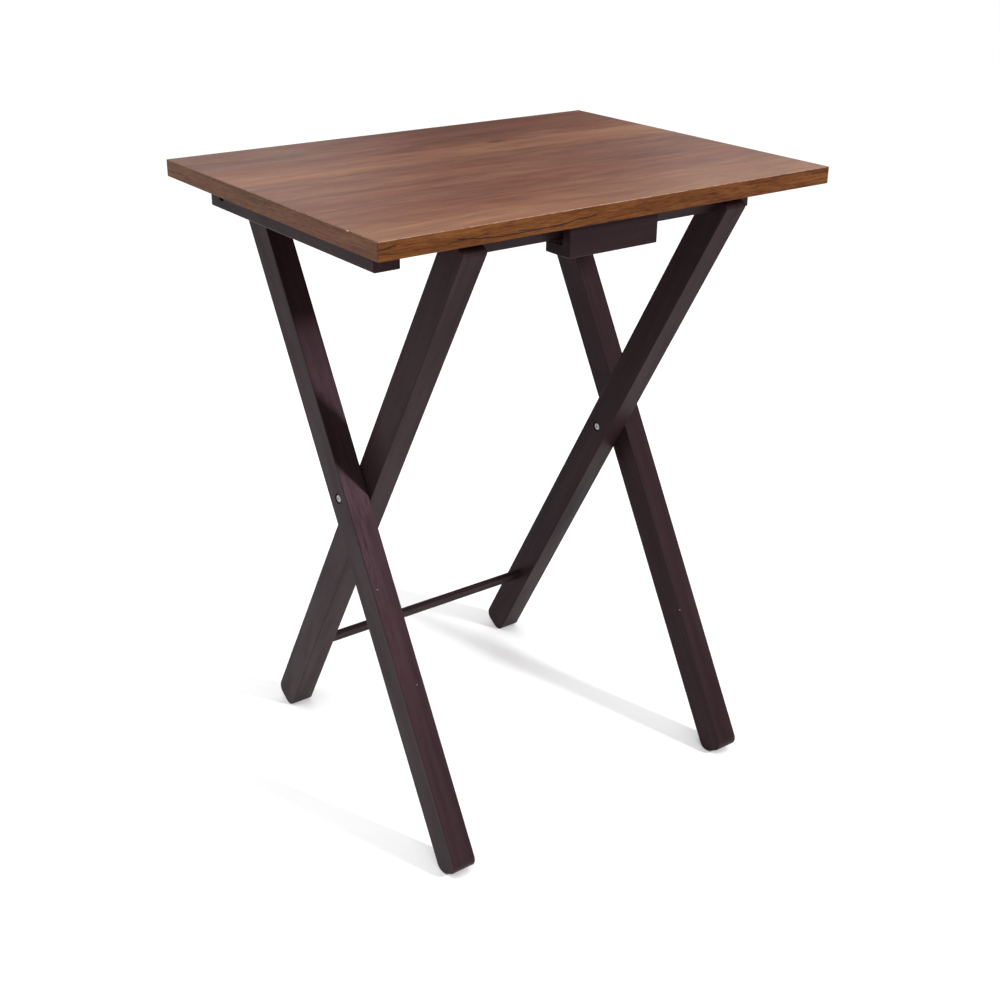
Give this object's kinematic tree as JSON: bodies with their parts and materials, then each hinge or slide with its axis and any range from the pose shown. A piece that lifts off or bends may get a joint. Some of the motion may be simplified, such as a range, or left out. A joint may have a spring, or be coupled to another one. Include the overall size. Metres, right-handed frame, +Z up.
{
  "type": "folding tray table",
  "caption": "Folding tray table with a walnut-look rectangular board on crossed dark wooden legs that scissor shut.",
  "frame": {"origin": "on the floor, under the middle of the board", "axes": "+X along the board's long side, towards the right; +Y along its short side, towards the rear, where the legs are pivoted; +Z up"},
  "size_m": [0.508, 0.389, 0.635],
  "materials": {
    "walnut_laminate": "satin walnut-look laminate on a particle core",
    "walnut_edge_band": "satin walnut-look edge strip",
    "espresso_wood": "hardwood under a satin espresso stain",
    "zinc_steel": "bright zinc plate",
    "white_nylon": "moulded nylon",
    "beech": "bare beech"
  },
  "bodies": {
    "top": {"top_board": "walnut_laminate", "edge_band_front": "walnut_edge_band", "edge_band_rear": "walnut_edge_band", "edge_band_left": "walnut_edge_band", "edge_band_right": "walnut_edge_band", "cleat_left": "espresso_wood", "cleat_right": "espresso_wood", "cleat_screw_1_left": "zinc_steel", "cleat_screw_2_left": "zinc_steel", "cleat_screw_3_left": "zinc_steel", "cleat_screw_1_right": "zinc_steel", "cleat_screw_2_right": "zinc_steel", "cleat_screw_3_right": "zinc_steel", "catch_block": "espresso_wood", "catch_screw_1": "zinc_steel", "catch_screw_2": "zinc_steel"},
    "outer_leg_left": {"outer_leg_left": "espresso_wood", "mid_screw_left": "zinc_steel", "mid_sleeve_left": "zinc_steel", "mid_washer_left": "white_nylon", "top_bolt_left": "zinc_steel", "top_insert_left": "zinc_steel", "top_washer_left": "white_nylon"},
    "outer_leg_right": {"outer_leg_right": "espresso_wood", "mid_screw_right": "zinc_steel", "mid_sleeve_right": "zinc_steel", "mid_washer_right": "white_nylon", "top_bolt_right": "zinc_steel", "top_insert_right": "zinc_steel", "top_washer_right": "white_nylon"},
    "inner_frame": {"inner_leg_left": "espresso_wood", "inner_leg_right": "espresso_wood", "crossbar_screw_left": "zinc_steel", "crossbar_screw_right": "zinc_steel", "crossbar_dowel_left": "beech", "crossbar_dowel_right": "beech", "crossbar": "espresso_wood", "stretcher": "espresso_wood"}
  },
  "joints": [
    {"name": "fold_left", "type": "hinge", "parent": "top", "child": "outer_leg_left", "pos_m": [0, 0.1515, 0.603], "axis": [1, 0, 0], "range_deg": [0, 29.3]},
    {"name": "fold_right", "type": "hinge", "parent": "top", "child": "outer_leg_right", "pos_m": [0, 0.1515, 0.603], "axis": [1, 0, 0], "range_deg": [0, 29.3]},
    {"name": "scissor", "type": "hinge", "parent": "outer_leg_left", "child": "inner_frame", "pos_m": [0, 0, 0.333], "axis": [1, 0, 0], "range_deg": [-58.6, 0]}
  ],
  "couplings": [
    {"joint": "fold_right", "follows": "fold_left", "ratio": 1},
    {"joint": "scissor", "follows": "fold_left", "ratio": -2}
  ]
}
